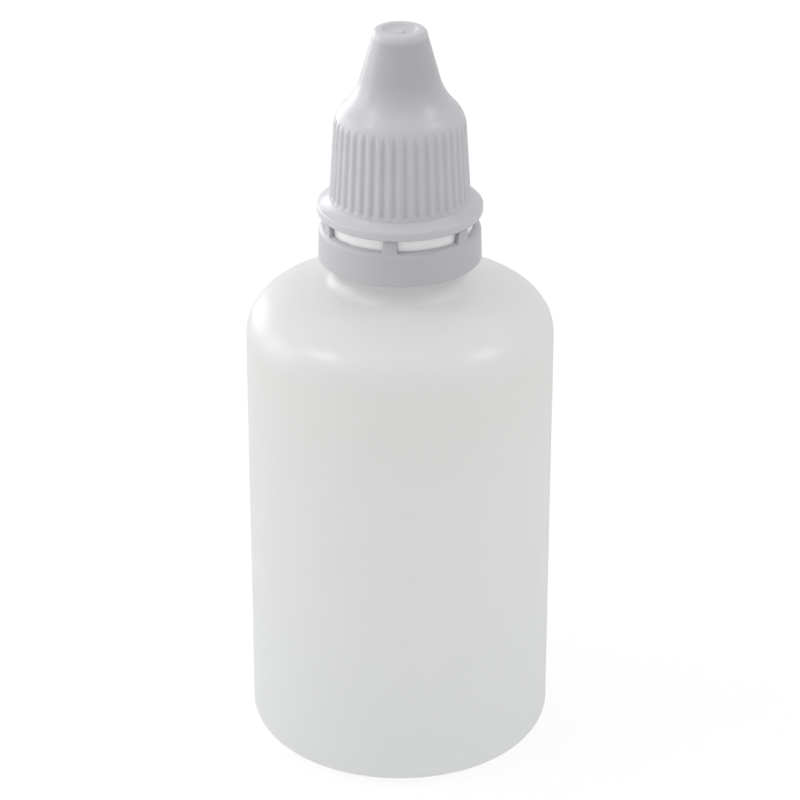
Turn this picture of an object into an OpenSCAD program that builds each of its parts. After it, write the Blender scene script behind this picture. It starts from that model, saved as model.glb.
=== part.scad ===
// Eye drop bottle: squeeze bottle, dropper insert, ribbed screw cap and tamper ring.
// Millimetres, +Z up. The bottle stands on z = 0 with its axis on the Z axis,
// and the photographed front faces -Y.

/* [Bottle] */
// Outer diameter of the bottle's round wall
body_d = 36; // [32:0.5:42]
// Height at which the straight wall turns into the shoulder
wall_top = 51.6; // [40:0.1:70]
// Radius of the rounded corner under the wall
base_corner_r = 3; // [2:0.1:5]
// Width of the flat ring that the bottle stands on
stand_w = 3.5; // [2:0.1:6]
// Height of the hollow under the middle of the base
base_recess = 0.9; // [0.3:0.1:2]
// Thickness of the wall and the shoulder
bottle_wall = 0.8; // [0.5:0.05:1.4]
// Thickness of the base
base_t = 1; // [0.6:0.05:2]
// Radius of the tight curve at the foot of the shoulder
shoulder_r = 5; // [3:0.1:7]
// Angle that the tight curve turns through
shoulder_turn = 66; // [55:1:70]
// Radius of the flatter curve above it
crown_r = 15; // [10:0.5:25]
// Slope of the shoulder where it meets the neck, in degrees
shoulder_slope = 14.6; // [10:0.1:18]

/* [Neck] */
// Outer diameter of the plain neck under the cap
neck_d = 15.2; // [14.4:0.1:17]
// Radius of the hollow curve between shoulder and neck
neck_root_r = 1.8; // [0.5:0.1:2.5]
// Diameter of the bore through the neck
neck_bore_d = 9.2; // [8.2:0.1:9.8]
// Thickness of the neck behind its thread
finish_wall = 1.2; // [1:0.05:1.5]
// Height of plain neck between the shoulder and the bead
stem_h = 4.44; // [4:0.02:7]
// How far the ring's bead stands out of the neck
bead_depth = 0.7; // [0.5:0.05:0.9]
// Height of the bead's round land
bead_land = 0.5; // [0.3:0.05:0.8]
// Height of the bead's sloping top
bead_ramp = 1.3; // [1:0.1:1.6]
// Height of plain neck above the bead
collar_h = 0.8; // [0.5:0.1:1.2]
// Height of the slope from the plain neck to the thread
collar_ramp = 1.1; // [0.8:0.1:1.6]
// Height of the threaded part, from that slope to the rim
finish_h = 8.5; // [8:0.1:12]

/* [Thread] */
// Rise of the thread in one turn
pitch = 3; // [2.5:0.1:3.5]
// How far the thread stands out
thread_depth = 0.65; // [0.4:0.05:0.8]
// Width of the thread at its root
thread_root_w = 1.3; // [1:0.05:1.5]
// Width of the thread at its crest
thread_crest_w = 0.6; // [0.3:0.05:0.8]
// Turns of thread on the neck
neck_turns = 1.6; // [1.2:0.1:1.8]
// Turns of thread inside the cap
cap_turns = 1.5; // [1:0.1:1.7]
// Height from the foot of the threaded part to the neck thread's lower end
thread_lift = 1.2; // [0.8:0.1:1.6]
// Height of plain bore under the cap's thread
cap_lead = 0.5; // [0.4:0.05:1]

/* [Dropper insert] */
// Depth of the plug in the neck
plug_h = 7; // [5:0.1:8]
// Thickness of the plug's wall
plug_wall = 0.75; // [0.5:0.05:1]
// Thickness of the flange on the rim
seat_t = 0.9; // [0.6:0.05:1.4]
// Diameter of the nozzle at the flange
nozzle_base_d = 7.8; // [6.6:0.1:8.6]
// Diameter of the nozzle under its rounded tip
nozzle_tip_d = 3.8; // [3:0.1:4.6]
// Height of the nozzle above the flange
nozzle_h = 9.1; // [7.5:0.1:11]
// Radius of the nozzle's rounded tip edge
nozzle_edge_r = 0.6; // [0.3:0.05:0.8]
// Thickness of the nozzle's wall
nozzle_wall = 1; // [0.7:0.05:1.1]
// Diameter of the orifice that forms the drop
orifice_d = 0.7; // [0.4:0.05:0.9]
// Length of the orifice
orifice_h = 1.2; // [0.6:0.1:2]
// Diameter of the orifice's mouth
mouth_d = 1.6; // [1.2:0.05:2]
// Depth of the mouth
mouth_h = 0.8; // [0.5:0.05:1.2]

/* [Cap] */
// Thickness of the skirt at its foot, over its bore
skirt_foot_wall = 1.51; // [1.3:0.01:2]
// Thickness of the skirt at its top, over its bore
skirt_top_wall = 0.97; // [0.85:0.01:1.2]
// Height of the skirt's top above the insert's flange
skirt_over = 1.4; // [1:0.05:2]
// Height of the flange at the foot of the skirt
flange_h = 1.8; // [1.5:0.05:2.2]
// Slope of the flange's upper side, in degrees
flange_slope = 27; // [20:1:35]
// How far the flange stands out past the ring
flange_proud = 0.1; // [0:0.05:0.3]
// Radius of the flange's lower and upper edges
flange_edge_r = 0.35; // [0.15:0.05:0.4]
// Radius of the curve from the skirt to the nose
cap_crown_r = 3.8; // [3.2:0.1:4.2]
// Radius of the hollow curve at the foot of the nose
nose_sweep_r = 7.3; // [5:0.1:9]
// Taper of the nose, in degrees from upright
nose_taper = 15.4; // [13:0.1:17]
// Room between the nozzle's tip and the outside of the nose's tip
nose_room = 1.2; // [1.1:0.05:1.5]
// Thickness of the crown and the nose
cap_wall = 1.1; // [0.8:0.05:1.2]
// Height of the boss that closes the nozzle
boss_h = 2.2; // [1.5:0.1:3]
// Diameter of that boss
boss_d = 3; // [2.4:0.1:3.4]
// Thickness of the cap above its boss
tip_t = 1.6; // [1.2:0.05:2]
// Radius of the tip's outer edge
tip_edge_r = 0.55; // [0.3:0.05:0.7]
// Width of the raised rim round the dished tip
tip_rim_w = 0.5; // [0.3:0.05:0.8]
// Depth of the dish in the tip
dish_h = 0.3; // [0.15:0.05:0.5]

/* [Grip] */
// Number of grooves round the skirt
grooves = 40; // [24:1:48]
// Width of the round cutter that makes a groove
groove_w = 0.62; // [0.4:0.02:0.8]
// Depth of a groove
groove_depth = 0.28; // [0.15:0.01:0.35]
// Distance of the grooves' lower ends from the flange
groove_start = 0.2; // [0.1:0.05:1]

/* [Tamper ring] */
// Height of the ring
ring_h = 4.35; // [3.6:0.05:5]
// Thickness of the ring at its foot
ring_foot_wall = 0.92; // [0.8:0.01:1.2]
// Thickness of the ring at its top
ring_top_wall = 0.75; // [0.6:0.01:1.1]
// Radius of the ring's outer edges
ring_edge_r = 0.25; // [0.1:0.05:0.3]
// Height of the ring's foot below the bead on the neck
ring_drop = 1.45; // [1.2:0.05:2]
// Height of the lip that catches under the bead
lip_h = 1.2; // [0.9:0.05:1.4]
// Number of breakable bridges
bridges = 6; // [4:1:12]
// Width of a bridge round the ring
bridge_w = 1.9; // [1:0.1:2.5]
// Thickness of a bridge
bridge_t = 0.5; // [0.3:0.05:0.6]
// Height of the gap that the bridges cross
bridge_gap = 1.15; // [0.6:0.05:1.5]
// Direction of the first bridge, in degrees from +X
bridge_turn = -97.5; // [-180:0.5:180]

/* [Fits] */
// Gap between the neck's thread and the cap's bore
crest_clear = 0.2; // [0.15:0.01:0.3]
// Gap between the cap's thread and the neck
root_clear = 0.15; // [0.1:0.01:0.2]
// Gap between the two threads' flanks when closed
flank_clear = 0.1; // [0.06:0.01:0.15]
// Gap between the bead and the ring's inside
bead_clear = 0.25; // [0.15:0.01:0.4]
// Gap between the ring's lip and the neck, and between the lip and the bead
lip_clear = 0.25; // [0.15:0.01:0.3]
// Gap between the nozzle's tip and the cap's boss when closed
seal_clear = 0.05; // [0.03:0.01:0.1]

/* [Hidden] */
$fn = 96;
eps = 0.01;
// An arc is drawn with a point about every 5 degrees, a thread with one every 10.
arc_step = 5;
thread_step = 10;
// A thread's foot is sunk this far into the wall that carries it.
thread_sink = 0.3;
// A thread fades in and out of its wall over this angle, and its ends lie this deep.
thread_fade = 40;
thread_bury = 0.1;

// Points on an arc about [x, z], from angle a0 to a1.
function arc(x, z, r, a0, a1) =
    let (n = max(4, ceil(abs(a1 - a0) / arc_step)))
    [for (i = [0:n]) let (a = a0 + (a1 - a0) * i / n) [x + r * cos(a), z + r * sin(a)]];

// Height, on a line through point p that rises by slope degrees towards the axis, at radius r.
function rising(p, slope, r) = p[1] + (p[0] - r) * tan(slope);

// Bottle: centres of the two shoulder curves and the point where the slope starts.
body_r = body_d / 2;
foot_c = [body_r - shoulder_r, wall_top];
slope_turn = 90 - shoulder_slope;
crown_c = foot_c + (shoulder_r - crown_r) * [cos(shoulder_turn), sin(shoulder_turn)];
stand_r = body_r - base_corner_r - stand_w;
recess_r = (stand_r * stand_r + base_recess * base_recess) / (2 * base_recess);
recess_turn = asin(stand_r / recess_r);

// The base's hollow dome, or the floor that lies a thickness above it.
function dome(t) = arc(0, base_recess - recess_r, recess_r + t, 90, 90 - recess_turn);

// The slope's start on an outline that lies in from the outer one by a thickness.
function slope_start(in) = crown_c + (crown_r - in) * [cos(slope_turn), sin(slope_turn)];

// Outline from the foot of the wall to the neck of radius r, with a hollow curve root_r there.
function flank(in, r, root_r) =
    let (z = rising(slope_start(in), shoulder_slope, r + root_r) + root_r / cos(shoulder_slope))
    concat(
        arc(foot_c[0], foot_c[1], shoulder_r - in, 0, shoulder_turn),
        arc(crown_c[0], crown_c[1], crown_r - in, shoulder_turn, slope_turn),
        arc(r + root_r, z, root_r, 270 - shoulder_slope, 180));

// Neck: radii and heights, from the shoulder to the rim.
neck_r = neck_d / 2;
bore_r = neck_bore_d / 2;
root_r = bore_r + finish_wall;
bead_r = neck_r + bead_depth;
neck_z = rising(slope_start(0), shoulder_slope, neck_r);
bead_z = neck_z + stem_h;
collar_z = bead_z + bead_land + bead_ramp + collar_h;
finish_z = collar_z + collar_ramp;
rim_z = finish_z + finish_h;
rim_edge = 0.3;
bore_edge_r = 2;

// Thread: both helices share the pitch, and the cap's lies under the neck's by thread_drop.
flank_w = (thread_root_w + thread_crest_w) / 2;
thread_drop = flank_w + flank_clear;
thread_z = finish_z + thread_lift;
cap_bore_r = root_r + thread_depth + crest_clear;
cap_thread_r = root_r + root_clear;

// Tamper ring: it hangs round the bead, and the cap's flange starts above its bridges.
ring_in_r = bead_r + bead_clear;
ring_foot_r = ring_in_r + ring_foot_wall;
ring_top_r = ring_in_r + ring_top_wall;
ring_z = bead_z - ring_drop;
ring_top_z = ring_z + ring_h;
lip_r = neck_r + lip_clear;
lip_z = bead_z - lip_clear;
lip_rise = 0.15;
lip_edge = 0.4;
bridge_set = 0.05;

// Dropper insert: the flange seats on the rim, and the nozzle stands on the flange.
seat_set = 0.2;
seat_r = root_r - seat_set;
seat_z = rim_z + seat_t;
seat_edge_r = 0.3;
nozzle_base_r = nozzle_base_d / 2;
nozzle_tip_r = nozzle_tip_d / 2;
nozzle_z = seat_z + nozzle_h;
plug_r = bore_r;
plug_relief = 0.15;
relief_r = plug_r - plug_relief;
plug_in_r = plug_r - plug_wall;
plug_z = rim_z - plug_h;
plug_lead = 0.6;
plug_lead_w = 0.25;
// The plug bears on the bore in bands, each with a ramp below and above it.
band_h = 0.5;
band_ramp = 0.3;
band_steps = [0.25, 0.6];
throat_lead = 0.6;

// Cap: heights from the ring's bridges up to the tip.
cap_z = ring_top_z + bridge_gap;
cap_thread_z = thread_z - thread_drop;
cap_thread_turn = (cap_z + cap_lead + thread_root_w / 2 - cap_thread_z) * 360 / pitch;
flange_r = ring_foot_r + flange_proud;
skirt_foot_r = cap_bore_r + skirt_foot_wall;
skirt_top_r = cap_bore_r + skirt_top_wall;
skirt_foot_z = cap_z + flange_h;
skirt_top_z = seat_z + skirt_over;
boss_z = nozzle_z + seal_clear;
ceiling_z = boss_z + boss_h;
tip_z = ceiling_z + tip_t;
draft = atan2(skirt_foot_r - skirt_top_r, skirt_top_z - skirt_foot_z);
tip_r = nozzle_tip_r + nose_room - tip_edge_r;
// The bore opens out at its mouth and leans in under the crown over these heights.
bore_lead = 0.4;
bore_lean = 0.8;
// Gaps round the pin, at its root and at its point.
pin_root_clear = 0.25;
pin_point_clear = 0.1;

// The crown curve starts square to the skirt. The sweep touches the crown curve and the nose.
cap_crown_c = [skirt_top_r - cap_crown_r * cos(draft), skirt_top_z - cap_crown_r * sin(draft)];
nose_n = [cos(nose_taper), sin(nose_taper)];
nose_down = [sin(nose_taper), -cos(nose_taper)];
nose_top = [tip_r, tip_z - tip_edge_r] + tip_edge_r * nose_n;
sweep_from = nose_top + nose_sweep_r * nose_n - cap_crown_c;
sweep_b = sweep_from * nose_down;
sweep_c = sweep_from * sweep_from - pow(cap_crown_r + nose_sweep_r, 2);
sweep_t = -sweep_b - sqrt(sweep_b * sweep_b - sweep_c);
sweep_c0 = nose_top + nose_sweep_r * nose_n + sweep_t * nose_down;
crown_turn = atan2(sweep_c0[1] - cap_crown_c[1], sweep_c0[0] - cap_crown_c[0]);

// Cap outline over crown and nose, in from the outer one by a thickness.
function cap_over(in) = concat(
    arc(cap_crown_c[0], cap_crown_c[1], cap_crown_r - in, draft, crown_turn),
    arc(sweep_c0[0], sweep_c0[1], nose_sweep_r + in, 180 + crown_turn, 180 + nose_taper));

// A screw thread: a ridge swept up a helix on a wall of radius wall_r, out to crest_r.
module thread(wall_r, crest_r, z, start, turns) {
    out = sign(crest_r - wall_r);
    steps = ceil(turns * 360 / thread_step);
    function fade(a) = min(1, a / thread_fade, (turns * 360 - a) / thread_fade);
    function section(a) =
        let (r0 = wall_r - out * thread_sink,
             r1 = wall_r + out * (abs(crest_r - wall_r) * fade(a) - thread_bury * (1 - fade(a))),
             mid = z + pitch * (start + a) / 360)
        [for (p = [[r0, -thread_root_w / 2], [r1, -thread_crest_w / 2],
                   [r1, thread_crest_w / 2], [r0, thread_root_w / 2]])
            [p[0] * cos(start + a), p[0] * sin(start + a), mid + p[1]]];
    points = [for (i = [0:steps]) each section(turns * 360 * i / steps)];
    sides = [for (i = [0:steps - 1], k = [0:3])
        let (a = 4 * i + k, b = 4 * i + (k + 1) % 4)
        each [[a, b, b + 4], [a, b + 4, a + 4]]];
    ends = [[0, 3, 2], [0, 2, 1],
            [4 * steps, 4 * steps + 1, 4 * steps + 2], [4 * steps, 4 * steps + 2, 4 * steps + 3]];
    faces = concat(sides, ends);
    polyhedron(points, out > 0 ? faces : [for (f = faces) [f[0], f[2], f[1]]]);
}

module bottle_outer() {
    polygon(concat(
        dome(0),
        arc(body_r - base_corner_r, base_corner_r, base_corner_r, -90, 0),
        flank(0, neck_r, neck_root_r),
        [[neck_r, bead_z], [bead_r, bead_z], [bead_r, bead_z + bead_land],
         [neck_r, bead_z + bead_land + bead_ramp], [neck_r, collar_z], [root_r, finish_z],
         [root_r, rim_z - rim_edge], [root_r - rim_edge, rim_z], [0, rim_z]]));
}

module bottle_inside() {
    in_r = body_r - bottle_wall;
    corner_r = base_corner_r - bottle_wall;
    polygon(concat(
        dome(base_t),
        arc(in_r - corner_r, base_t + corner_r, corner_r, -90, 0),
        flank(bottle_wall, bore_r, bore_edge_r),
        [[bore_r, rim_z + eps], [0, rim_z + eps]]));
}

module bottle() {
    color([0.93, 0.94, 0.94])
    union() {
        rotate_extrude()
        difference() {
            bottle_outer();
            bottle_inside();
        }
        thread(root_r, root_r + thread_depth, thread_z, 0, neck_turns);
    }
}

// One bearing band round the plug, from height z up.
function band(z) = [[relief_r, z], [plug_r, z + band_ramp],
                    [plug_r, z + band_ramp + band_h], [relief_r, z + 2 * band_ramp + band_h]];

module insert_outer() {
    taper = atan2(nozzle_base_r - nozzle_tip_r, nozzle_h);
    polygon(concat(
        [[0, plug_z], [relief_r - plug_lead_w, plug_z], [relief_r, plug_z + plug_lead]],
        [for (step = band_steps) each band(plug_z + step * plug_h)],
        [[relief_r, rim_z - band_h - band_ramp], [plug_r, rim_z - band_h], [plug_r, rim_z],
         [seat_r, rim_z]],
        arc(seat_r - seat_edge_r, seat_z - seat_edge_r, seat_edge_r, 0, 90),
        [[nozzle_base_r, seat_z]],
        arc(nozzle_tip_r - nozzle_edge_r, nozzle_z - nozzle_edge_r, nozzle_edge_r, taper, 90),
        [[0, nozzle_z]]));
}

module insert_inside() {
    throat_z = nozzle_z - mouth_h - orifice_h;
    polygon([
        [0, plug_z - eps], [plug_in_r, plug_z - eps], [plug_in_r, rim_z - seat_edge_r],
        [nozzle_base_r - nozzle_wall, rim_z + seat_edge_r],
        [nozzle_tip_r - nozzle_wall, throat_z - throat_lead],
        [orifice_d / 2, throat_z], [orifice_d / 2, nozzle_z - mouth_h],
        [mouth_d / 2, nozzle_z + eps], [0, nozzle_z + eps]]);
}

module dropper_insert() {
    color([0.96, 0.96, 0.95])
    rotate_extrude()
    difference() {
        insert_outer();
        insert_inside();
    }
}

module cap_outer() {
    edge = flange_edge_r;
    top_turn = 90 - flange_slope;
    // The flange's slope runs out from the skirt's foot to its upper edge curve.
    edge_z = rising([skirt_foot_r, skirt_foot_z], flange_slope, flange_r - edge) - edge / cos(flange_slope);
    polygon(concat(
        [[0, cap_z]],
        arc(flange_r - edge, cap_z + edge, edge, -90, 0),
        arc(flange_r - edge, edge_z, edge, 0, top_turn),
        [[skirt_foot_r, skirt_foot_z]],
        cap_over(0),
        arc(tip_r, tip_z - tip_edge_r, tip_edge_r, nose_taper, 90),
        [[tip_r - tip_rim_w, tip_z], [tip_r - tip_rim_w - dish_h / 2, tip_z - dish_h],
         [0, tip_z - dish_h]]));
}

module cap_inside() {
    nose_in = nose_top - cap_wall * nose_n;
    pin_z = boss_z - mouth_h;
    difference() {
        polygon(concat(
            [[0, cap_z - eps], [cap_bore_r + bore_lead, cap_z - eps],
             [cap_bore_r, cap_z + bore_lead], [cap_bore_r, skirt_top_z - bore_lean]],
            cap_over(cap_wall),
            [[nose_in[0] + (nose_in[1] - ceiling_z) * tan(nose_taper), ceiling_z], [0, ceiling_z]]));
        // The boss and its pin close the nozzle.
        polygon([
            [0, pin_z], [orifice_d / 2 - pin_point_clear, pin_z],
            [mouth_d / 2 - pin_root_clear, boss_z], [boss_d / 2, boss_z],
            [boss_d / 2, ceiling_z + eps], [0, ceiling_z + eps]]);
    }
}

module groove() {
    foot = skirt_foot_z + groove_start;
    r = groove_w / 2;
    run = (skirt_top_z - foot) / cos(draft) + cap_crown_r / 2;
    translate([skirt_foot_r - groove_start * tan(draft) + r - groove_depth, 0, foot])
    rotate([0, -draft, 0])
    cylinder(r = r, h = run, $fn = 24);
}

module screw_cap() {
    color([0.8, 0.8, 0.83])
    union() {
        difference() {
            rotate_extrude()
            difference() {
                cap_outer();
                cap_inside();
            }
            for (i = [0:grooves - 1])
                rotate([0, 0, 360 * (i + 0.5) / grooves])
                groove();
        }
        thread(cap_bore_r, cap_thread_r, cap_thread_z, cap_thread_turn, cap_turns);
    }
}

module tamper_ring() {
    edge = ring_edge_r;
    color([0.78, 0.78, 0.81])
    union() {
        rotate_extrude()
        polygon(concat(
            [[ring_in_r, ring_z]],
            arc(ring_foot_r - edge / 2, ring_z + edge / 2, edge / 2, -90, 0),
            arc(ring_top_r - edge, ring_top_z - edge, edge, 0, 90),
            [[ring_in_r, ring_top_z], [ring_in_r, lip_z + lip_rise], [lip_r, lip_z],
             [lip_r, lip_z - lip_edge], [ring_in_r, lip_z - lip_h]]));
        for (i = [0:bridges - 1])
            rotate([0, 0, bridge_turn + 360 * i / bridges])
            translate([ring_in_r + bridge_set, -bridge_w / 2, ring_top_z - edge])
            cube([bridge_t, bridge_w, bridge_gap + edge]);
    }
}

bottle();
dropper_insert();
screw_cap();
tamper_ring();
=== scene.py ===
# %% [markdown]
# # Eye drop bottle, dressed for the camera
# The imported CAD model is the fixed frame: it says where each moulding is and how it moves.
# This lesson lays a finer surface over each of the four mouldings, gives each its plastic,
# and then builds the floor, the lights and the camera.

import math

import bpy
import numpy as np
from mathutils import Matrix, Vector


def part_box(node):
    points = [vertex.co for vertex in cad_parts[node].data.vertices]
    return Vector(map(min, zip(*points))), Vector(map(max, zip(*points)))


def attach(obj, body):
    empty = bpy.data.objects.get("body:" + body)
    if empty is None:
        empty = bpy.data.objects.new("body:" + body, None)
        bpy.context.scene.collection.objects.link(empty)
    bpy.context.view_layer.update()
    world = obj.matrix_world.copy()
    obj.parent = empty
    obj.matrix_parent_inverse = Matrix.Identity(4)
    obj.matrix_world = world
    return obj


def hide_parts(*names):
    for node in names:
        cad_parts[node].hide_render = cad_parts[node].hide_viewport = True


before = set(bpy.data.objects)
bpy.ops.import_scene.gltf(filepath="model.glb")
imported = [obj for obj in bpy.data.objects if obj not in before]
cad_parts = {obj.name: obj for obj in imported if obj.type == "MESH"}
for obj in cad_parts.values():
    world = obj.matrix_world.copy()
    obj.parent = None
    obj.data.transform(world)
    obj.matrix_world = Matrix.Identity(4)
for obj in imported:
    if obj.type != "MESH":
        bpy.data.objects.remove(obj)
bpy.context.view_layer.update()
MM = 0.001

# %% [markdown]
# ## The camera
# A wrong camera makes every later comparison wrong, so it comes first. The photograph was
# taken with a long lens from a little above. The angle, the distance and the lens come from
# the ellipses of the cap, the ring and the base, each of which is a circle seen at a slant.
# A camera could also be aimed with a constraint, but plain numbers are easier to check.

# %% Place the camera
CAMERA_BACK = 0.340
CAMERA_UP = 0.2066
LOOKING_DOWN = 25.75
LENS_MM, SENSOR_MM, NEAR_CLIP = 143.55, 36, 0.01

eye = bpy.data.objects.new("eye", bpy.data.cameras.new("eye"))
eye.location = (0, -CAMERA_BACK, CAMERA_UP)
eye.rotation_euler = (math.radians(90 - LOOKING_DOWN), 0, 0)
eye.data.lens, eye.data.sensor_width = LENS_MM, SENSOR_MM
eye.data.clip_start = NEAR_CLIP
bpy.context.scene.collection.objects.link(eye)
bpy.context.scene.camera = eye
bpy.context.scene.view_settings.view_transform = "Standard"
print("camera looks down", LOOKING_DOWN, "degrees through a", LENS_MM, "mm lens")

# %% [markdown]
# ## Outlines
# Every moulding here is round, so its form is one outline turned about the Z axis. An outline
# is a list of [radius, height] points in millimetres. Real mouldings have no sharp corners,
# and a corner without a radius catches no light, so a corner is written as
# (radius, height, fillet) and drawn as a small arc. A Bevel modifier could do this too, but
# it would also round the places where the outline already runs in fine steps.

# %% Arcs and filleted corners
FEWEST_STEPS, MOST_OF_A_SIDE, TOO_CLOSE = 5, 0.47, 0.004


def arc(x, z, r, start, end, step=3):
    """Points on an arc about (x, z), between two angles in degrees."""
    n = max(FEWEST_STEPS, math.ceil(abs(end - start) / step))
    turns = np.radians(np.linspace(start, end, n + 1))
    return [(x + r * math.cos(a), z + r * math.sin(a)) for a in turns]


def soften(corners, steps=6):
    """An outline with each (radius, height, fillet) corner drawn as an arc."""
    points = []
    for i, corner in enumerate(corners):
        here = np.array(corner[:2], float)
        if len(corner) == 2 or i in (0, len(corners) - 1):
            points.append(tuple(here))
            continue
        before = np.array(corners[i - 1][:2], float) - here
        after = np.array(corners[i + 1][:2], float) - here
        long_before, long_after = np.linalg.norm(before), np.linalg.norm(after)
        before, after = before / long_before, after / long_after
        inside = math.acos(np.clip(before @ after, -1, 1))
        reach = corner[2] / math.tan(inside / 2)
        reach = min(reach, MOST_OF_A_SIDE * long_before, MOST_OF_A_SIDE * long_after)
        r = reach * math.tan(inside / 2)
        middle = before + after
        centre = here + middle / np.linalg.norm(middle) * r / math.sin(inside / 2)
        first, last = here + before * reach - centre, here + after * reach - centre
        sweep = math.atan2(first[0] * last[1] - first[1] * last[0], first @ last)
        for k in range(steps + 1):
            c, s = math.cos(sweep * k / steps), math.sin(sweep * k / steps)
            swung = [c * first[0] - s * first[1], s * first[0] + c * first[1]]
            points.append(tuple(centre + swung))
    return points


def apart(points):
    """The outline without its doubled points, which would make faces with no area."""
    kept = [points[0]]
    for p in points[1:]:
        if math.dist(p, kept[-1]) > TOO_CLOSE:
            kept.append(p)
    return kept


def divide(points, step, low=-math.inf, high=math.inf):
    """Splits long sides between two heights, so that relief has rows to stand on."""
    rows = [points[0]]
    for a, b in zip(points, points[1:]):
        a, b = np.array(a), np.array(b)
        inside = low <= (a[1] + b[1]) / 2 <= high
        n = max(1, math.ceil(np.linalg.norm(b - a) / step)) if inside else 1
        rows += [tuple(a + (b - a) * k / n) for k in range(1, n + 1)]
    return rows


print("a 1 mm fillet takes", len(soften([(0, 0), (5, 0, 1), (5, 5)])) - 2, "points")

# %% [markdown]
# ## Turning an outline
# Blender's Screw modifier would turn an outline, but threads, grip ribs and bridges change
# with the angle. A grid of points is more use: one row for each outline point, one column for
# each direction. Relief is then plain array maths on radius and height, the surface stays
# one closed skin, and columns can crowd together where the relief is fine.

# %% Turn a grid of rows and columns into a mesh
SAMPLED_FACES = 4000


def turned(name, radius, height, angles, closed):
    """A mesh from grids of radius and height in mm.

    A closed outline is a loop. An open one starts and ends on the axis.
    """
    rows, columns = radius.shape
    grid = np.stack([radius * np.cos(angles), radius * np.sin(angles), height], -1) * MM
    points = grid.reshape(-1, 3)
    at = np.arange(rows * columns).reshape(rows, columns)
    if closed:
        at = np.vstack([at, at[:1]])
    side = np.roll(at, -1, axis=1)
    quads = np.stack([at[:-1], side[:-1], side[1:], at[1:]], -1)
    if closed:
        faces = quads.reshape(-1, 4).tolist()
    else:
        start, end = at[1], at[-2]
        faces = quads[1:-1].reshape(-1, 4).tolist()
        faces += np.stack([np.full(columns, at[0, 0]), np.roll(start, -1), start], -1).tolist()
        faces += np.stack([np.full(columns, at[-1, 0]), end, np.roll(end, -1)], -1).tolist()
        kept = np.r_[at[0, 0], at[1:-1].ravel(), at[-1, 0]]
        renumber = np.zeros(len(points), int)
        renumber[kept] = np.arange(len(kept))
        points, faces = points[kept], [[int(renumber[v]) for v in face] for face in faces]
    mesh = bpy.data.meshes.new(name)
    mesh.from_pydata(points.tolist(), [], faces)
    # A sample of the faces is enough to tell whether they all look inwards.
    sample = faces[:: max(1, len(faces) // SAMPLED_FACES)]
    volume = sum(t @ np.cross(u, v) for t, u, v in (points[f[:3]] for f in sample))
    if volume < 0:
        mesh.flip_normals()
    mesh.polygons.foreach_set("use_smooth", np.ones(len(mesh.polygons), bool))
    mesh.update()
    piece = bpy.data.objects.new(name, mesh)
    bpy.context.scene.collection.objects.link(piece)
    low, high = points.min(0) / MM, points.max(0) / MM
    print(name, len(mesh.polygons), "faces, from", low.round(2), "to", high.round(2))
    return piece


# %% [markdown]
# ## Sizes that the mouldings share
# Both screw threads follow one helix, so its pitch and section are written once. Neck, ring,
# cap and insert are stacked on each other, and their heights follow in the CAD's order.

# %% Shared sizes in millimetres
PITCH = 3.0
THREAD_ROOT, THREAD_CREST = 1.3, 0.6
NECK_R, FINISH_R, BORE_R, BEAD_R, COLLAR_R = 7.6, 5.8, 4.6, 8.3, 8.48
CAP_BORE_R = 6.65
BODY_R, WALL_TOP, WALL = 18.0, 51.6, 0.8
BEAD_Z, COLLAR_Z, FINISH_Z, RIM_Z = 62.752, 66.652, 66.452, 74.952
RING_Z, RING_TOP_Z, CAP_Z = 61.302, 65.652, 66.802
SEAT_Z, NOZZLE_Z, TIP_Z = 75.852, 84.952, 88.802
NECK_THREAD_Z, CAP_THREAD_Z = 67.652, 66.602
TWO_PI = 2 * math.pi
print("the closed cap's foot is", round(CAP_Z - RING_TOP_Z, 2), "mm above the CAD's ring")

# %% A screw thread as relief
RUN_OUT = 40


def smooth_step(value):
    """0 below 0, 1 above 1, and a soft slope between."""
    t = np.clip(value, 0, 1)
    return t * t * (3 - 2 * t)


def thread(angles, height, start, turns, z, depth):
    """How far a thread stands out of its wall, over a grid of directions and heights."""
    stand = np.zeros(np.broadcast(angles, height).shape)
    along = (np.degrees(angles) - start) % 360
    for lap in range(math.ceil(turns) + 1):
        a = along + 360 * lap
        off = np.abs(height - z - PITCH * (start + a) / 360)
        flank = smooth_step((THREAD_ROOT / 2 - off) / ((THREAD_ROOT - THREAD_CREST) / 2))
        ends = smooth_step(np.minimum(a, turns * 360 - a) / RUN_OUT)
        stand = np.maximum(stand, depth * flank * np.where(a <= turns * 360, ends, 0))
    return stand


print("a thread climbs", PITCH, "mm a turn and runs out over", RUN_OUT, "degrees")

# %% [markdown]
# ## The bottle
# The bottle is blown from a soft tube of low density polyethylene between two mould halves.
# That leaves three traces: a hair-fine parting line up both sides, a pinched seam across
# the hollow of the base, and walls that are never quite even. The photograph shows a round
# wall, a tight shoulder and a flatter dome that slopes up to the neck. The neck has a bead
# that holds the tamper ring, a collar that shows pale behind the gap over the ring, and a
# thread above them. It is one outline with a real inside, because the plastic is milky and
# light must be able to come in through the far wall.

# %% The bottle's shoulder and base
FOOT_R, SHOULDER_R, DOME_R, NECK_ROOT_R = 3, 5, 15, 1.8
SHOULDER_TURN, DOME_SLOPE = 66, 14.6
HOLLOW, HOLLOW_CURVE, BASE_T = 0.9, 147.85, 1
shoulder_at = np.array([BODY_R - SHOULDER_R, WALL_TOP])
bend = math.radians(SHOULDER_TURN)
dome_at = shoulder_at - (DOME_R - SHOULDER_R) * np.array([math.cos(bend), math.sin(bend)])


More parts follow.
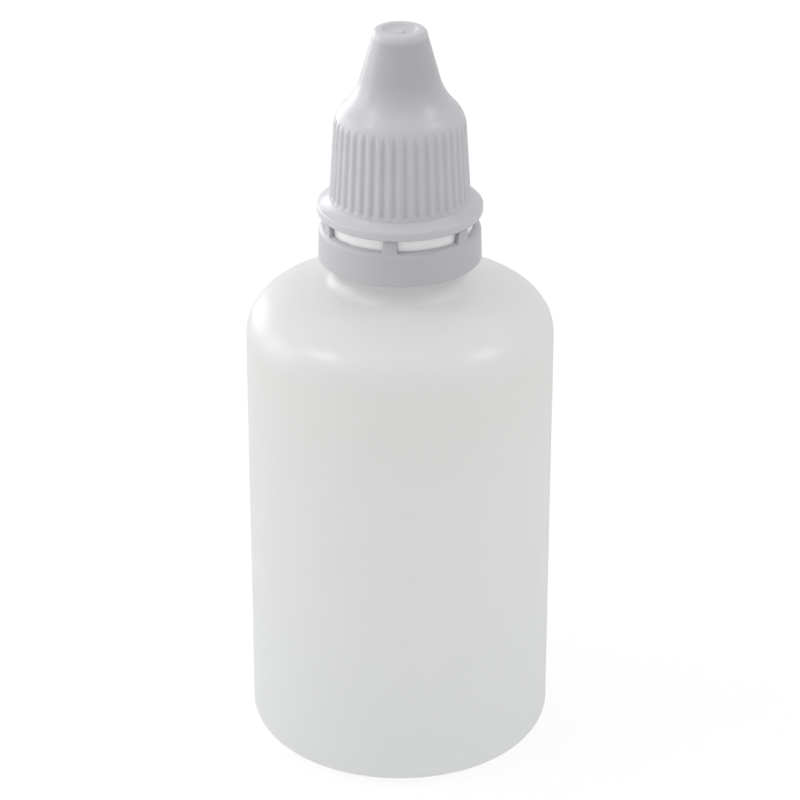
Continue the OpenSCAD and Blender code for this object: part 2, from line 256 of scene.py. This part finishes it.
def shoulder(inwards, neck, root):
    """The shoulder's curves, from the wall to a neck of that radius."""
    slope = math.radians(DOME_SLOPE)
    top = dome_at + (DOME_R - inwards) * np.array([math.sin(slope), math.cos(slope)])
    z = top[1] - (neck + root - top[0]) * math.tan(slope) + root / math.cos(slope)
    return (arc(*shoulder_at, SHOULDER_R - inwards, 0, SHOULDER_TURN)
            + arc(*dome_at, DOME_R - inwards, SHOULDER_TURN, 90 - DOME_SLOPE)
            + arc(neck + root, z, root, 270 - DOME_SLOPE, 180))


def hollow_base(radii, middle):
    """The base's shallow dome, whose middle is at that height."""
    return [(r, middle - r * r / HOLLOW_CURVE) for r in radii]


print("the dome's centre is at", dome_at.round(2))

# %% The bottle's outline
HOLLOW_R, STAND_R, HEEL_R = 9, 11.5, BODY_R - FOOT_R
NECK_FOOT_Z, BORE_FOOT_Z = 60, RIM_Z - 12
BEAD_T, BEAD_RAMP, COLLAR_RAMP = 0.5, 1.5, 1.9
base = hollow_base(np.linspace(0, HOLLOW_R, 16), HOLLOW)
stand = soften([base[-1], (STAND_R, 0, 2.2), (HEEL_R, 0)])[1:]
wall = divide([(BODY_R, FOOT_R), (BODY_R, WALL_TOP)], 1.6)[1:-1]
neck = soften([
    (NECK_R, NECK_FOOT_Z), (NECK_R, BEAD_Z, 0.12), (BEAD_R, BEAD_Z, 0.1),
    (BEAD_R, BEAD_Z + BEAD_T, 0.2), (NECK_R, BEAD_Z + BEAD_RAMP, 0.2),
    (COLLAR_R, BEAD_Z + COLLAR_RAMP, 0.2), (COLLAR_R, COLLAR_Z, 0.15), (FINISH_R, FINISH_Z, 0.3),
    (FINISH_R, RIM_Z, 0.3), (BORE_R, RIM_Z, 0.2), (BORE_R, BORE_FOOT_Z)])
inside = [(BORE_R, BORE_FOOT_Z)] + shoulder(WALL, BORE_R, 2)[::-1]
inside += arc(HEEL_R, FOOT_R, FOOT_R - WALL, 0, -90)
inside += hollow_base(np.linspace(11, 0, 8), HOLLOW + BASE_T)
outside = base + stand + arc(HEEL_R, FOOT_R, FOOT_R, -90, 0) + wall
outside += shoulder(0, NECK_R, NECK_ROOT_R)
outline = divide(outside + neck, 0.1, FINISH_Z, RIM_Z) + inside
outline = np.array(apart(outline))
print("the bottle's outline has", len(outline), "points")

# %% The bottle's columns, closer together at the parting line
SEAM = math.radians(8)
beside = np.array([0.06, 0.11, 0.17, 0.24, 0.34, 0.5])
beside = np.concatenate([-beside, [0], beside]) / BODY_R
even = np.linspace(0, TWO_PI, 360, endpoint=False)
columns = np.concatenate([even, SEAM + beside, SEAM + math.pi + beside])
columns = np.unique(np.round(columns % TWO_PI, 6))
radius = np.repeat(outline[:, :1], len(columns), 1)
height = np.repeat(outline[:, 1:], len(columns), 1)
outer = np.arange(len(outline)) < len(outline) - len(inside)
print("the bottle has", len(columns), "columns")

# %% Relief of the bottle: thread, uneven wall, parting line and pinched seam
UNEVEN, LINE_STANDS, LINE_W, PINCH, PINCH_W = 0.022, 0.03, 0.13, 0.22, 0.4
on_finish = outer & (outline[:, 1] > FINISH_Z - 0.2) & (outline[:, 0] > FINISH_R - 0.05)
radius[on_finish] += thread(columns, height[on_finish], 0, 1.6, NECK_THREAD_Z, 0.65)

on_wall = smooth_step((height - 1) / 6) * smooth_step((56 - height) / 6) * outer[:, None]
waves = (np.sin(2 * columns + height / 9) + np.sin(3 * columns - height / 6 + 1)
         + 0.6 * np.sin(5 * columns + height / 14 + 2))
radius -= UNEVEN * (1 + waves / 2.6) * on_wall

across = radius * np.abs(np.sin(columns - SEAM))
line = np.exp(-(across / LINE_W) ** 2) * outer[:, None]
on_skin = (height > 0.6) & (height < RIM_Z - 0.6) & (radius > 5)
radius += LINE_STANDS * line * on_skin

in_base = outer[:, None] & (height < 1) & (radius < HOLLOW_R)
pinched = np.exp(-(across / PINCH_W) ** 2) * smooth_step((8.4 - radius) / 0.6)
height -= PINCH * pinched * in_base
bottle = turned("bottle_shell", radius, height, columns, closed=False)

# %% [markdown]
# ## The dropper insert
# The insert is a small moulding pressed into the neck: a plug with bearing bands, a flange
# on the rim, and a nozzle whose fine orifice forms the drop. It hides under the closed cap
# and shows when the cap comes off, so it gets its real inside as well.

# %% The insert's outline, turned
RELIEF_R, BAND_R, PLUG_IN_R, PLUG_Z = 4.43, 4.58, 3.85, RIM_Z - 7
SEAT_R, NOZZLE_FOOT_R, NOZZLE_R = 5.6, 3.9, 1.9
MOUTH_R, THROAT_R, ORIFICE_R = 0.8, 0.9, 0.35
plug = [(4.2, PLUG_Z), (RELIEF_R, PLUG_Z + 0.6, 0.2)]
for z in (RIM_Z - 5.25, RIM_Z - 2.8):
    plug += [(RELIEF_R, z, 0.2), (BAND_R, z + 0.3, 0.2), (BAND_R, z + 0.8, 0.2),
             (RELIEF_R, z + 1.1, 0.2)]
plug += [(RELIEF_R, RIM_Z - 0.8, 0.2), (BAND_R, RIM_Z - 0.5, 0.2), (BAND_R, RIM_Z + 0.01)]
nozzle = [(SEAT_R, RIM_Z + 0.01, 0.15), (SEAT_R, SEAT_Z, 0.3), (NOZZLE_FOOT_R, SEAT_Z, 0.35),
          (NOZZLE_R, NOZZLE_Z, 0.6), (MOUTH_R, NOZZLE_Z, 0.12)]
throat_z = NOZZLE_Z - 2
bore = [(ORIFICE_R, throat_z + 1.2, 0.1), (ORIFICE_R, throat_z, 0.2),
        (THROAT_R, throat_z - 0.6, 0.3), (2.9, RIM_Z + 0.3, 0.5), (PLUG_IN_R, RIM_Z - 0.3, 0.5),
        (PLUG_IN_R, PLUG_Z, 0.1)]
loop = soften(plug + nozzle + bore + [plug[0]])[:-1]
loop = np.array(divide(apart(loop), 1.2))
columns = np.linspace(0, TWO_PI, 160, endpoint=False)
radius = np.repeat(loop[:, :1], len(columns), 1)
height = np.repeat(loop[:, 1:], len(columns), 1)
insert = turned("dropper_insert_moulding", radius, height, columns, closed=True)

# %% [markdown]
# ## The screw cap
# The cap is moulded in one piece: a ribbed skirt with a flange at its foot, a crown, and a
# hollow nose that tapers to a dished tip. Its forty grooves are shallow and round, so the
# ribs between them are round too: each has a round lower end, and each runs out where the
# crown curves away. The grooves could be forty booleans, but a wave in the radius, taken
# from the skirt's drafted line, gives the soft change of shade that the photograph shows.

# %% Where the cap's crown meets its nose
SKIRT_FOOT, SKIRT_TOP = (8.16, 68.602), (7.62, 77.252)
DRAFT = math.atan2(SKIRT_FOOT[0] - SKIRT_TOP[0], SKIRT_TOP[1] - SKIRT_FOOT[1])
NOSE_TAPER = 15.4
CROWN_R, SWEEP_R, CAP_WALL, TIP_R, TIP_EDGE = 3.8, 7.3, 1.1, 2.55, 0.55
taper = math.radians(NOSE_TAPER)
nose_n = np.array([math.cos(taper), math.sin(taper)])
nose_down = np.array([math.sin(taper), -math.cos(taper)])
nose_top = np.array([TIP_R, TIP_Z - TIP_EDGE]) + TIP_EDGE * nose_n
crown_at = np.array(SKIRT_TOP) - CROWN_R * np.array([math.cos(DRAFT), math.sin(DRAFT)])
gap = nose_top + SWEEP_R * nose_n - crown_at
along = gap @ nose_down
down = -along - math.sqrt(along ** 2 - gap @ gap + (CROWN_R + SWEEP_R) ** 2)
sweep_at = nose_top + SWEEP_R * nose_n + down * nose_down
turn = math.degrees(math.atan2(*(sweep_at - crown_at)[::-1]))
print("the crown turns through", round(turn), "degrees before the nose sweeps up")


def over(inwards):
    """Crown and nose, in from the outer skin by that much."""
    return (arc(*crown_at, CROWN_R - inwards, math.degrees(DRAFT), turn, 1.6)
            + arc(*sweep_at, SWEEP_R + inwards, 180 + turn, 180 + NOSE_TAPER))


# %% The cap's skin, from the flange to the dished tip
FLANGE_R, FLANGE_EDGE, FLANGE_SLOPE = 9.57, 0.35, 27
DISH_Z = TIP_Z - 0.44
GATE_MARK = [(0.7, 0.44), (0.6, 0.4), (0.53, 0.26), (0.45, 0.22), (0.2, 0.23), (0, 0.24)]
slope = math.radians(FLANGE_SLOPE)
edge_r = FLANGE_R - FLANGE_EDGE
edge_z = SKIRT_FOOT[1] - (edge_r - SKIRT_FOOT[0]) * math.tan(slope) - FLANGE_EDGE / math.cos(slope)
skin = arc(edge_r, CAP_Z + FLANGE_EDGE, FLANGE_EDGE, -90, 0, 15)
skin += arc(edge_r, edge_z, FLANGE_EDGE, 0, 90 - FLANGE_SLOPE, 12)
skin += soften([skin[-1], (*SKIRT_FOOT, 0.12), SKIRT_TOP])[1:-1] + over(0)
skin += arc(TIP_R, TIP_Z - TIP_EDGE, TIP_EDGE, NOSE_TAPER, 90, 8)
skin += soften([skin[-1], (TIP_R - 0.45, TIP_Z, 0.25), (TIP_R - 0.95, TIP_Z - 0.42, 0.6),
                (0.9, DISH_Z)])[1:]
skin += [(r, TIP_Z - deep) for r, deep in GATE_MARK]
print("the dish is", round(TIP_Z - DISH_Z, 2), "mm deep")

# %% The cap's lining, with the boss and pin that close the orifice
BORE_LEAD, BOSS_R, PIN_R, PIN_TIP_R, PIN_LONG = 0.4, 1.5, 0.55, 0.25, 0.8
ceiling_z, boss_z = TIP_Z - 1.6, NOZZLE_Z + 0.05
nose_in = nose_top - CAP_WALL * nose_n
mouth = soften([
    (edge_r, CAP_Z), (CAP_BORE_R + BORE_LEAD, CAP_Z, 0.1), (CAP_BORE_R, CAP_Z + BORE_LEAD, 0.1),
    (CAP_BORE_R, SKIRT_TOP[1] - 0.8)])[1:]
lining = mouth + over(CAP_WALL) + soften([
    tuple(nose_in), (nose_in[0] + (nose_in[1] - ceiling_z) * math.tan(taper), ceiling_z, 0.25),
    (BOSS_R, ceiling_z, 0.15), (BOSS_R, boss_z, 0.1), (PIN_R, boss_z, 0.08),
    (PIN_TIP_R, boss_z - PIN_LONG, 0.08), (0, boss_z - PIN_LONG)])[1:]
skin_rows = divide(apart(skin), 0.12, SKIRT_FOOT[1] - 0.1, SKIRT_TOP[1] + 3)
outline = np.array(skin_rows[::-1] + divide(apart(lining), 0.12, CAP_Z, RIM_Z + 1))
own_skin = np.arange(len(outline)) < len(skin_rows)
print("the cap's outline has", len(outline), "points")

# %% Grip grooves and the cap's thread
GROOVES, GROOVE_DEPTH, GROOVE_END = 40, 0.25, 0.45
GROOVE_FOOT, GROOVE_SHARPNESS, BLEND = SKIRT_FOOT[1] + 0.2, 1.15, 0.03
step = TWO_PI / GROOVES
columns = np.linspace(0, TWO_PI, 16 * GROOVES, endpoint=False)
radius = np.repeat(outline[:, :1], len(columns), 1)
height = np.repeat(outline[:, 1:], len(columns), 1)

across = radius * (columns % step - step / 2)
below = np.maximum(GROOVE_FOOT + GROOVE_END - height, 0)
off = np.minimum(np.hypot(across, below) / (np.maximum(radius, 1) * step / 2), 1)
wave = (0.5 + 0.5 * np.cos(math.pi * off)) ** GROOVE_SHARPNESS
skirt_line = SKIRT_FOOT[0] - (height - SKIRT_FOOT[1]) * math.tan(DRAFT)
tool = skirt_line - GROOVE_DEPTH * wave
cut = (radius + tool - np.hypot(radius - tool, BLEND)) / 2
on_grip = own_skin[:, None] & (height > SKIRT_FOOT[1] - 0.05) & (radius > 5.5)
radius = np.where(on_grip, cut, radius)

on_bore = ~own_skin & (outline[:, 0] > CAP_BORE_R - 0.05) & (outline[:, 1] > CAP_Z + 0.3)
radius[on_bore] -= thread(columns, height[on_bore], 162, 1.5, CAP_THREAD_Z, 0.7)
cap = turned("screw_cap_moulding", radius, height, columns, closed=False)

# %% [markdown]
# ## The tamper ring
# The ring hangs round the bead on the neck and is joined to the cap by six thin bridges,
# which tear at the first opening. The photograph looks through the gap between the bridges
# on to the neck's pale collar, so the height of the ring's rounded top decides how much of
# it shows. The bridges could be six small boxes, but they would leave a hard seam. Here they
# grow out of the ring's own top rows: between bridges those rows follow the rounded top, and
# at a bridge they rise to the cap's foot.

# %% The ring's outline and its lip
RING_IN, RING_FOOT_R, LIP_R = 8.55, 9.47, 7.85
INNER, OUTER = 8.6, 9.1
ROUND_R, ROUND_Z = 0.78, 0.7
CREST_Z, LIP_Z = RING_TOP_Z - 0.37, BEAD_Z - 0.25


def ring_top(r):
    """The ring's rounded top: how high it is at each radius."""
    return CREST_Z - ROUND_Z * (1 - np.sqrt(1 - ((r - INNER) / ROUND_R) ** 2))


face = divide(soften([
    (RING_IN, RING_TOP_Z - 1.5), (RING_IN, RING_Z, 0.1), (RING_FOOT_R, RING_Z, 0.14),
    (INNER + ROUND_R, CREST_Z - ROUND_Z)])[1:], 0.6)
rounding = INNER + ROUND_R * np.cos(np.radians(np.arange(8, 50, 6)))
face += [(r, float(ring_top(r))) for r in rounding]
hole = divide(soften([
    (INNER - 0.02, CREST_Z), (RING_IN, CREST_Z, 0.03), (RING_IN, LIP_Z + 0.15, 0.1),
    (LIP_R, LIP_Z, 0.12), (LIP_R, LIP_Z - 0.4, 0.12), (RING_IN, LIP_Z - 1.2, 0.1),
    (RING_IN, RING_Z + 0.15)]), 0.6)
print("the ring's rounded top is at", round(CREST_Z, 2), "mm")

# %% The bridges, raised from the ring's top rows
FIRST, COUNT, MIDDLE_R = math.radians(-97.5), 6, (INNER + OUTER) / 2
HALF_WIDTH, NARROWS, SOFT_EDGE = 0.95, 0.12, 0.06
# A bridge's section: the radius of each row, and its share of the height up to the cap.
section = np.array([
    (OUTER, 0), (OUTER, 0.15), (OUTER, 0.85), (OUTER - 0.04, 1), (INNER + 0.04, 1),
    (INNER, 0.85), (INNER, 0.15), (INNER, 0)])
top_r = np.linspace(OUTER, INNER, len(section))
outline = np.array(face + list(zip(top_r, ring_top(top_r))) + hole)
on_top = np.arange(len(face), len(face) + len(section))

sides = np.array([0.6, 0.88, 0.92, 0.95, 0.99])
sides = np.concatenate([-sides, [0], sides]) / MIDDLE_R
directions = FIRST + TWO_PI * np.arange(COUNT) / COUNT
even = np.linspace(0, TWO_PI, 300, endpoint=False)
columns = np.concatenate([even] + [d + sides for d in directions])
columns = np.unique(np.round(columns % TWO_PI, 6))
away = np.abs((columns[:, None] - directions + math.pi) % TWO_PI - math.pi).min(1) * MIDDLE_R
radius = np.repeat(outline[:, :1], len(columns), 1)
height = np.repeat(outline[:, 1:], len(columns), 1)
section_r, rise = section[:, :1], section[:, 1:]
section_z = ring_top(section_r) + (CAP_Z - ring_top(section_r)) * rise
standing = smooth_step((HALF_WIDTH - NARROWS * rise - away) / SOFT_EDGE + 0.5)
radius[on_top] += (section_r - radius[on_top]) * standing
height[on_top] += (section_z - height[on_top]) * standing
ring = turned("tamper_ring_moulding", radius, height, columns, closed=True)

# %% [markdown]
# ## Writing materials as sums
# A procedural material is a formula, and a formula is easier to read than a web of nodes.
# The small class below wraps one output socket, so that 1 - mask or 0.3 + 0.1 * noise adds
# the Math nodes that it says. Colours and vectors don't go through Math nodes, which
# would turn them grey: they go through Mix and Vector Math, made by the same one method.

# %% A socket that can be added and multiplied
class Wire:
    """One output socket of a material. Sums on it become Math nodes."""

    def __init__(self, board, socket):
        self.board, self.socket = board, socket

    def sum(self, operation, first, second):
        return self.board.add("ShaderNodeMath", {"operation": operation}, {0: first, 1: second})

    def __add__(self, other): return self.sum("ADD", self, other)
    def __radd__(self, other): return self.sum("ADD", other, self)
    def __sub__(self, other): return self.sum("SUBTRACT", self, other)
    def __rsub__(self, other): return self.sum("SUBTRACT", other, self)
    def __mul__(self, other): return self.sum("MULTIPLY", self, other)
    def __rmul__(self, other): return self.sum("MULTIPLY", other, self)

    def within(self, low, high):
        """1 above high, 0 below low, and a soft slope between."""
        settings = {"interpolation_type": "SMOOTHSTEP"}
        return self.board.add("ShaderNodeMapRange", settings, {0: self, 1: low, 2: high})


print("a Wire can be added, subtracted and multiplied, from either side")


# %% A board that holds the nodes
class Board:
    """The nodes of one material, or of the world."""

    def __init__(self, name, kind=bpy.data.materials, end="ShaderNodeOutputMaterial"):
        self.owner = kind.new(name)
        self.owner.use_nodes = True
        self.tree = self.owner.node_tree
        self.tree.nodes.clear()
        self.end = self.tree.nodes.new(end)

    def add(self, kind, settings=None, sockets=None, out=0):
        """Makes a node: first its settings, then its sockets, and returns one output."""
        node = self.tree.nodes.new(kind)
        for key, value in (settings or {}).items():
            setattr(node, key, value)
        for key, value in (sockets or {}).items():
            if isinstance(value, Wire):
                self.tree.links.new(value.socket, node.inputs[key])
            else:
                node.inputs[key].default_value = value
        return Wire(self, node.outputs[out])

    def mix(self, factor, first, second):
        """A colour between two colours."""
        sockets = {0: factor, 6: first, 7: second}
        return self.add("ShaderNodeMix", {"data_type": "RGBA"}, sockets, 2)

    def noise(self, at, scale, detail=3, stretch=(1, 1, 1)):
        """Noise in the object's own metres, with its scale in features per metre."""
        spread = self.add("ShaderNodeVectorMath", {"operation": "MULTIPLY"}, {0: at, 1: stretch})
        sockets = {"Vector": spread, "Scale": scale, "Detail": detail}
        return self.add("ShaderNodeTexNoise", {}, sockets)

    def finish(self, shader, *pieces):
        """Joins the shader to the output and gives the material to the pieces."""
        self.tree.links.new(shader.socket, self.end.inputs["Surface"])
        for piece in pieces:
            piece.data.materials.clear()
            piece.data.materials.append(self.owner)
        print(self.owner.name, "uses", len(self.tree.nodes), "nodes")


print("a Board makes nodes, mixed colours and noises for one material")

# %% [markdown]
# ## Milky polyethylene
# Natural low density polyethylene is cloudy: most of the light that meets the wall goes on
# through it, scattered, and comes out elsewhere, which rounds every shade. Subsurface
# scattering does that in a solid block. This bottle is a thin shell with a real inside, where
# a Translucent shader mixed with a glossy one is closer, and needs fewer samples. The thick
# neck lets less light through, and its colour is whiter than the wall's: partly the thick
# plastic's own whiteness, partly painted light for the glow that the neck carries up under
# the cap. The mould was blasted, so the skin is satin with a very fine grain, and the soft
# tube leaves faint upright streaks where it was drawn.
# The colour is a trace warmer towards the top and cooler towards the foot, and a trace deeper
# and cooler at the shoulder and foot. The glossy shader is only a part of the mix, so its
# index and specular level are set high to leave the skin its real gloss.

# %% The bottle's plastic
FOOT_SPAN, SHOULDER_SPAN, WALL_SPAN = (0.001, 0.008), (0.050, 0.056), (0.005, 0.055)
NECK_SPAN = (0.0615, 0.0635)
MILK_LOW, MILK_HIGH = (0.898, 0.902, 0.905, 1), (0.905, 0.905, 0.899, 1)
MILK_CLOUD, MILK_SHOULDER_FOOT, MILK_THICK_WITH_PAINTED_GLOW = (
    (0.910, 0.910, 0.907, 1), (0.884, 0.889, 0.892, 1), (0.965, 0.965, 0.965, 1))
THROUGH_WALL, LESS_IN_NECK = 0.72, 0.62
board = Board("milky_polyethylene")
place = board.add("ShaderNodeTexCoord", out=3)
z = board.add("ShaderNodeSeparateXYZ", sockets={0: place}, out=2)
cloud = board.noise(place, 90, 4)
streaks = board.noise(place, 900, 2, (1, 1, 0.02))
grain = board.noise(place, 14000, 2)
# A mask over the shoulder and the foot, where the colour is made a trace deeper and cooler.
shoulder_and_foot = (1 - z.within(*FOOT_SPAN)) + z.within(*SHOULDER_SPAN)
milk = board.mix(z.within(*WALL_SPAN), MILK_LOW, MILK_HIGH)
milk = board.mix(0.5 * cloud, milk, MILK_CLOUD)
milk = board.mix(0.3 * shoulder_and_foot, milk, MILK_SHOULDER_FOOT)
thick_with_painted_tone = z.within(*NECK_SPAN)
# The neck is painted whiter than the wall: partly the thick plastic's own colour, partly painted
# light for the glow carried up through the neck.
milk = board.mix(thick_with_painted_tone, milk, MILK_THICK_WITH_PAINTED_GLOW)
relief = 0.5 * streaks + 0.35 * grain + 0.6 * cloud
satin = board.add("ShaderNodeBump", {}, {"Strength": 0.25, "Distance": 0.00006, "Height": relief})
front = board.add("ShaderNodeBsdfPrincipled", {}, {
    "Base Color": milk, "Roughness": 0.24 + 0.08 * cloud + 0.05 * grain, "Normal": satin,
    "IOR": 1.7, "Specular IOR Level": 1.0})
through = board.add("ShaderNodeBsdfTranslucent", {}, {"Color": milk, "Normal": satin})
share = THROUGH_WALL - LESS_IN_NECK * thick_with_painted_tone
plastic = board.add("ShaderNodeMixShader", {}, {0: share, 1: front, 2: through})
board.finish(plastic, bottle)

# %% [markdown]
# ## Natural polyethylene of the insert
# The insert is the same kind of plastic, but moulded under pressure against a steel tool, so
# it is more even than the blown bottle and has no streaks. It is a small solid moulding and
# not a thin shell, so here Subsurface scattering is the right way to make it milky.

# %% The insert's plastic
board = Board("natural_polyethylene")
place = board.add("ShaderNodeTexCoord", out=3)
cloud = board.noise(place, 400, 3)
grain = board.noise(place, 9000, 2)
clear = board.mix(cloud, (0.86, 0.86, 0.84, 1), (0.9, 0.9, 0.885, 1))
relief = grain + cloud
satin = board.add("ShaderNodeBump", {}, {"Strength": 0.2, "Distance": 0.00004, "Height": relief})
plastic = board.add("ShaderNodeBsdfPrincipled", {"subsurface_method": "RANDOM_WALK"}, {
    "Base Color": clear, "Roughness": 0.26 + 0.08 * cloud, "Normal": satin, "IOR": 1.5,
    "Subsurface Weight": 1.0, "Subsurface Radius": (1, 1, 1), "Subsurface Scale": 0.0012})
board.finish(plastic, insert)

# %% [markdown]
# ## The grey moulded plastic of cap and ring
# Cap and ring are moulded from a stiffer plastic, tinted a pale cool grey. Its skin is satin,
# and it lets a little light through: more in the thin ring, less in the nose, whose walls
# are thick. The nose's colour is a shade deeper, which is painted shade for the dim light in
# front, and the ring's tint is a trace deeper than the cap's, painted shade under the flange.
# The floors of the grooves are a little duller, and painted a little darker than the crests
# of the ribs, as painted shade in the recesses. The grooves could be painted by angle, but the
# depth follows the form by itself: how deep a point lies is the skirt's drafted line less the
# point's distance from the axis.

# %% How deep a point lies in the grooves
SKIRT_START, SKIRT_END = (0.0684, 0.0688), (0.0772, 0.0782)
SKIN_SPAN, GROOVE_SPAN = (0.0072, 0.0074), (0.00003, 0.00020)


def groove_floor(board, place, z):
    """1 on the floors of the grip grooves, 0 elsewhere."""
    flat = board.add("ShaderNodeVectorMath", {"operation": "MULTIPLY"}, {0: place, 1: (1, 1, 0)})
    reach = board.add("ShaderNodeVectorMath", {"operation": "LENGTH"}, {0: flat}, "Value")
    line = SKIRT_FOOT[0] * MM + math.tan(DRAFT) * (SKIRT_FOOT[1] * MM - z)
    on_skirt = z.within(*SKIRT_START) * (1 - z.within(*SKIRT_END)) * reach.within(*SKIN_SPAN)
    return (line - reach).within(*GROOVE_SPAN) * on_skirt


# %% The cap's and ring's plastic
NOSE_SPAN, RIM_SPAN = (0.0785, 0.0845), (0.0877, 0.0884)
PALER, GROOVE_PAINTED_SHADE, NOSE_PAINTED_SHADE, LESS_IN_NOSE = 1.045, 0.93, 0.71, 0.7


def shade(colour, level):
    """A colour made paler or deeper."""
    return tuple(c * level for c in colour[:3]) + (1,)


def moulded(name, tint, let_through, piece):
    """Gives a piece the grey plastic, which lets that share of the light through."""
    board = Board(name)
    place = board.add("ShaderNodeTexCoord", out=3)
    z = board.add("ShaderNodeSeparateXYZ", sockets={0: place}, out=2)
    deep = groove_floor(board, place, z)
    cloud = board.noise(place, 260, 4)
    flow = board.noise(place, 700, 3, (1, 1, 0.15))
    grain = board.noise(place, 16000, 2)
    thick_with_painted_tone = z.within(*NOSE_SPAN) * (1 - z.within(*RIM_SPAN))
    colour = board.mix(cloud, tint, shade(tint, PALER))
    # The groove floors are painted darker, as painted shade in the recesses; their duller finish
    # is in the roughness.
    colour = board.mix(0.5 * deep, colour, shade(tint, GROOVE_PAINTED_SHADE))
    # The nose is painted a shade deeper: painted shade for the dim light in front.
    colour = board.mix(thick_with_painted_tone, colour, shade(tint, NOSE_PAINTED_SHADE))
    relief = 0.5 * flow + 0.3 * grain + 0.5 * cloud
    skin = board.add("ShaderNodeBump", {}, {
        "Strength": 0.22, "Distance": 0.00005, "Height": relief})
    front = board.add("ShaderNodeBsdfPrincipled", {}, {
        "Base Color": colour, "Roughness": 0.30 + 0.07 * cloud + 0.10 * deep, "Normal": skin,
        "IOR": 1.49})
    through = board.add("ShaderNodeBsdfTranslucent", {}, {"Color": colour, "Normal": skin})
    share = let_through * (1 - LESS_IN_NOSE * thick_with_painted_tone)
    plastic = board.add("ShaderNodeMixShader", {}, {0: share, 1: front, 2: through})
    board.finish(plastic, piece)


moulded("grey_cap_plastic", (0.64, 0.64, 0.67, 1), 0.2, cap)
# The ring's tint is a trace deeper than the cap's: painted shade under the flange.
moulded("grey_ring_plastic", (0.635, 0.635, 0.665, 1), 0.3, ring)

# %% [markdown]
# ## Fastening the pieces to the frame
# Each new skin stands for its CAD node and rides on that node's body, so the pose files move it.

# %% Replace and ride
for piece, node, body, slot in (
        (bottle, "bottle", "bottle", "bottle_ldpe"),
        (insert, "dropper_insert", "bottle", "insert_ldpe"),
        (cap, "screw_cap", "screw_cap", "cap_plastic"),
        (ring, "tamper_ring", "tamper_ring", "ring_plastic")):
    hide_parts(node)
    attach(piece, body)
    low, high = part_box(node)
    heights = round(low.z / MM, 2), round(high.z / MM, 2)
    print(piece.name, "stands for", node, "between heights", heights)

# %% [markdown]
# ## The floor
# The photograph is a cut-out on white, so the floor has to look white and still be lit and
# shaded like a real one. The floor's shader mixes a plain pale surface, which lights the
# bottle from below and takes its shadow, with a white that only the camera, reflections
# and light seen through plastic meet. A brighter lamp would bleach the bottle instead.

# %% White for the camera, pale for the light
def seen(board):
    """1 for the rays that look at the background, 0 for the rays that carry light."""
    kinds = [board.add("ShaderNodeLightPath", out=n)
             for n in ("Is Camera Ray", "Is Glossy Ray", "Is Transmission Ray")]
    return (kinds[0] + kinds[1] + kinds[2]).within(0, 1)


FLOOR_SIZE, WHITE_SHARE, WHITE_LEVEL = 3, 0.86, 1.025
bpy.ops.mesh.primitive_plane_add(size=FLOOR_SIZE, location=(0, 0, 0))
floor = bpy.context.object
floor.name = "floor"
board = Board("pale_floor")
pale = board.add("ShaderNodeBsdfDiffuse", {}, {"Color": (0.85, 0.85, 0.85, 1)})
white = board.add("ShaderNodeEmission", {}, {"Color": (1, 1, 1, 1), "Strength": WHITE_LEVEL})
shown = board.add("ShaderNodeMixShader", {}, {0: WHITE_SHARE * seen(board), 1: pale, 2: white})
board.finish(shown, floor)

# %% [markdown]
# ## The room
# A pale room is all round the table: brightest overhead and at the left, dimmer at the
# right, and dimmest in front and behind. It has the same two faces as the floor: a plain
# level that lights the plastic, and white for the rays that look. Towards the front,
# reflections meet a darker room, as they do where a photographer stands, and without that
# the wall would lose its shading from side to front. A picture of a real studio could do
# all of this, but a formula needs no file and every part of it can be changed by name.

# %% The world's light
LEVEL, MORE_OVERHEAD, LESS_AT_ENDS, LESS_AT_RIGHT = 0.83, 0.2, 0.3, 0.12
DARKER_FRONT, FRONT_SPAN = 0.4, (0.1, 1)
room = Board("soft_room", bpy.data.worlds, "ShaderNodeOutputWorld")
bpy.context.scene.world = room.owner
sky = room.add("ShaderNodeTexCoord", out=0)
rightwards, backwards, upwards = [
    room.add("ShaderNodeSeparateXYZ", {}, {0: sky}, axis) for axis in range(3)]
overhead = room.add("ShaderNodeMath", {"operation": "MAXIMUM"}, {0: upwards, 1: 0})
ends = room.add("ShaderNodeMath", {"operation": "ABSOLUTE"}, {0: backwards})
front_side = (-1 * backwards).within(*FRONT_SPAN)
looked_at = room.add("ShaderNodeLightPath", out="Is Camera Ray")
lighting = LEVEL + MORE_OVERHEAD * overhead - LESS_AT_ENDS * ends - LESS_AT_RIGHT * rightwards
showing = 1 - DARKER_FRONT * front_side * (1 - looked_at)
dim = room.add("ShaderNodeBackground", {}, {"Color": (1, 1, 1, 1), "Strength": lighting})
bright = room.add("ShaderNodeBackground", {}, {"Color": (1, 1, 1, 1), "Strength": showing})
both = room.add("ShaderNodeMixShader", {}, {0: seen(room), 1: dim, 2: bright})
room.finish(both)

# %% [markdown]
# ## The lights
# Two short soft highlights on the shoulder tell where the nearest lamps stood: a small soft
# box high on either side, the left one a little larger. A highlight lies where the surface
# faces half way between the lamp and the camera, which gives each lamp's direction. Two
# wider boxes stand low on the left, one beside the bottle and one behind it, and lighten the
# left edges of cap and bottle. One big soft box could give all of that light, but it would
# smear the two highlights into a band.

# %% Four soft boxes
AIM, LAMP_AWAY = Vector((0, 0, 0.05)), 0.62


def soft_box(name, direction, size, power):
    """A square lamp that stands in that direction and looks at the bottle."""
    lamp = bpy.data.lights.new(name, "AREA")
    lamp.shape, lamp.size, lamp.energy = "SQUARE", size, power
    holder = bpy.data.objects.new(name, lamp)
    holder.location = AIM + Vector(direction).normalized() * LAMP_AWAY
    holder.rotation_euler = (AIM - holder.location).to_track_quat("-Z", "Y").to_euler()
    bpy.context.scene.collection.objects.link(holder)
    print(name, "at", [round(v, 2) for v in holder.location], power, "W")


soft_box("left_soft_box", (-0.69, -0.20, 0.75), 0.15, 0.6)
soft_box("left_rim_box", (-0.60, 0.78, 0.14), 0.30, 1.2)
soft_box("left_side_box", (-1, 0.25, 0.25), 0.34, 0.8)
soft_box("right_soft_box", (0.725, -0.125, 0.68), 0.12, 0.5)
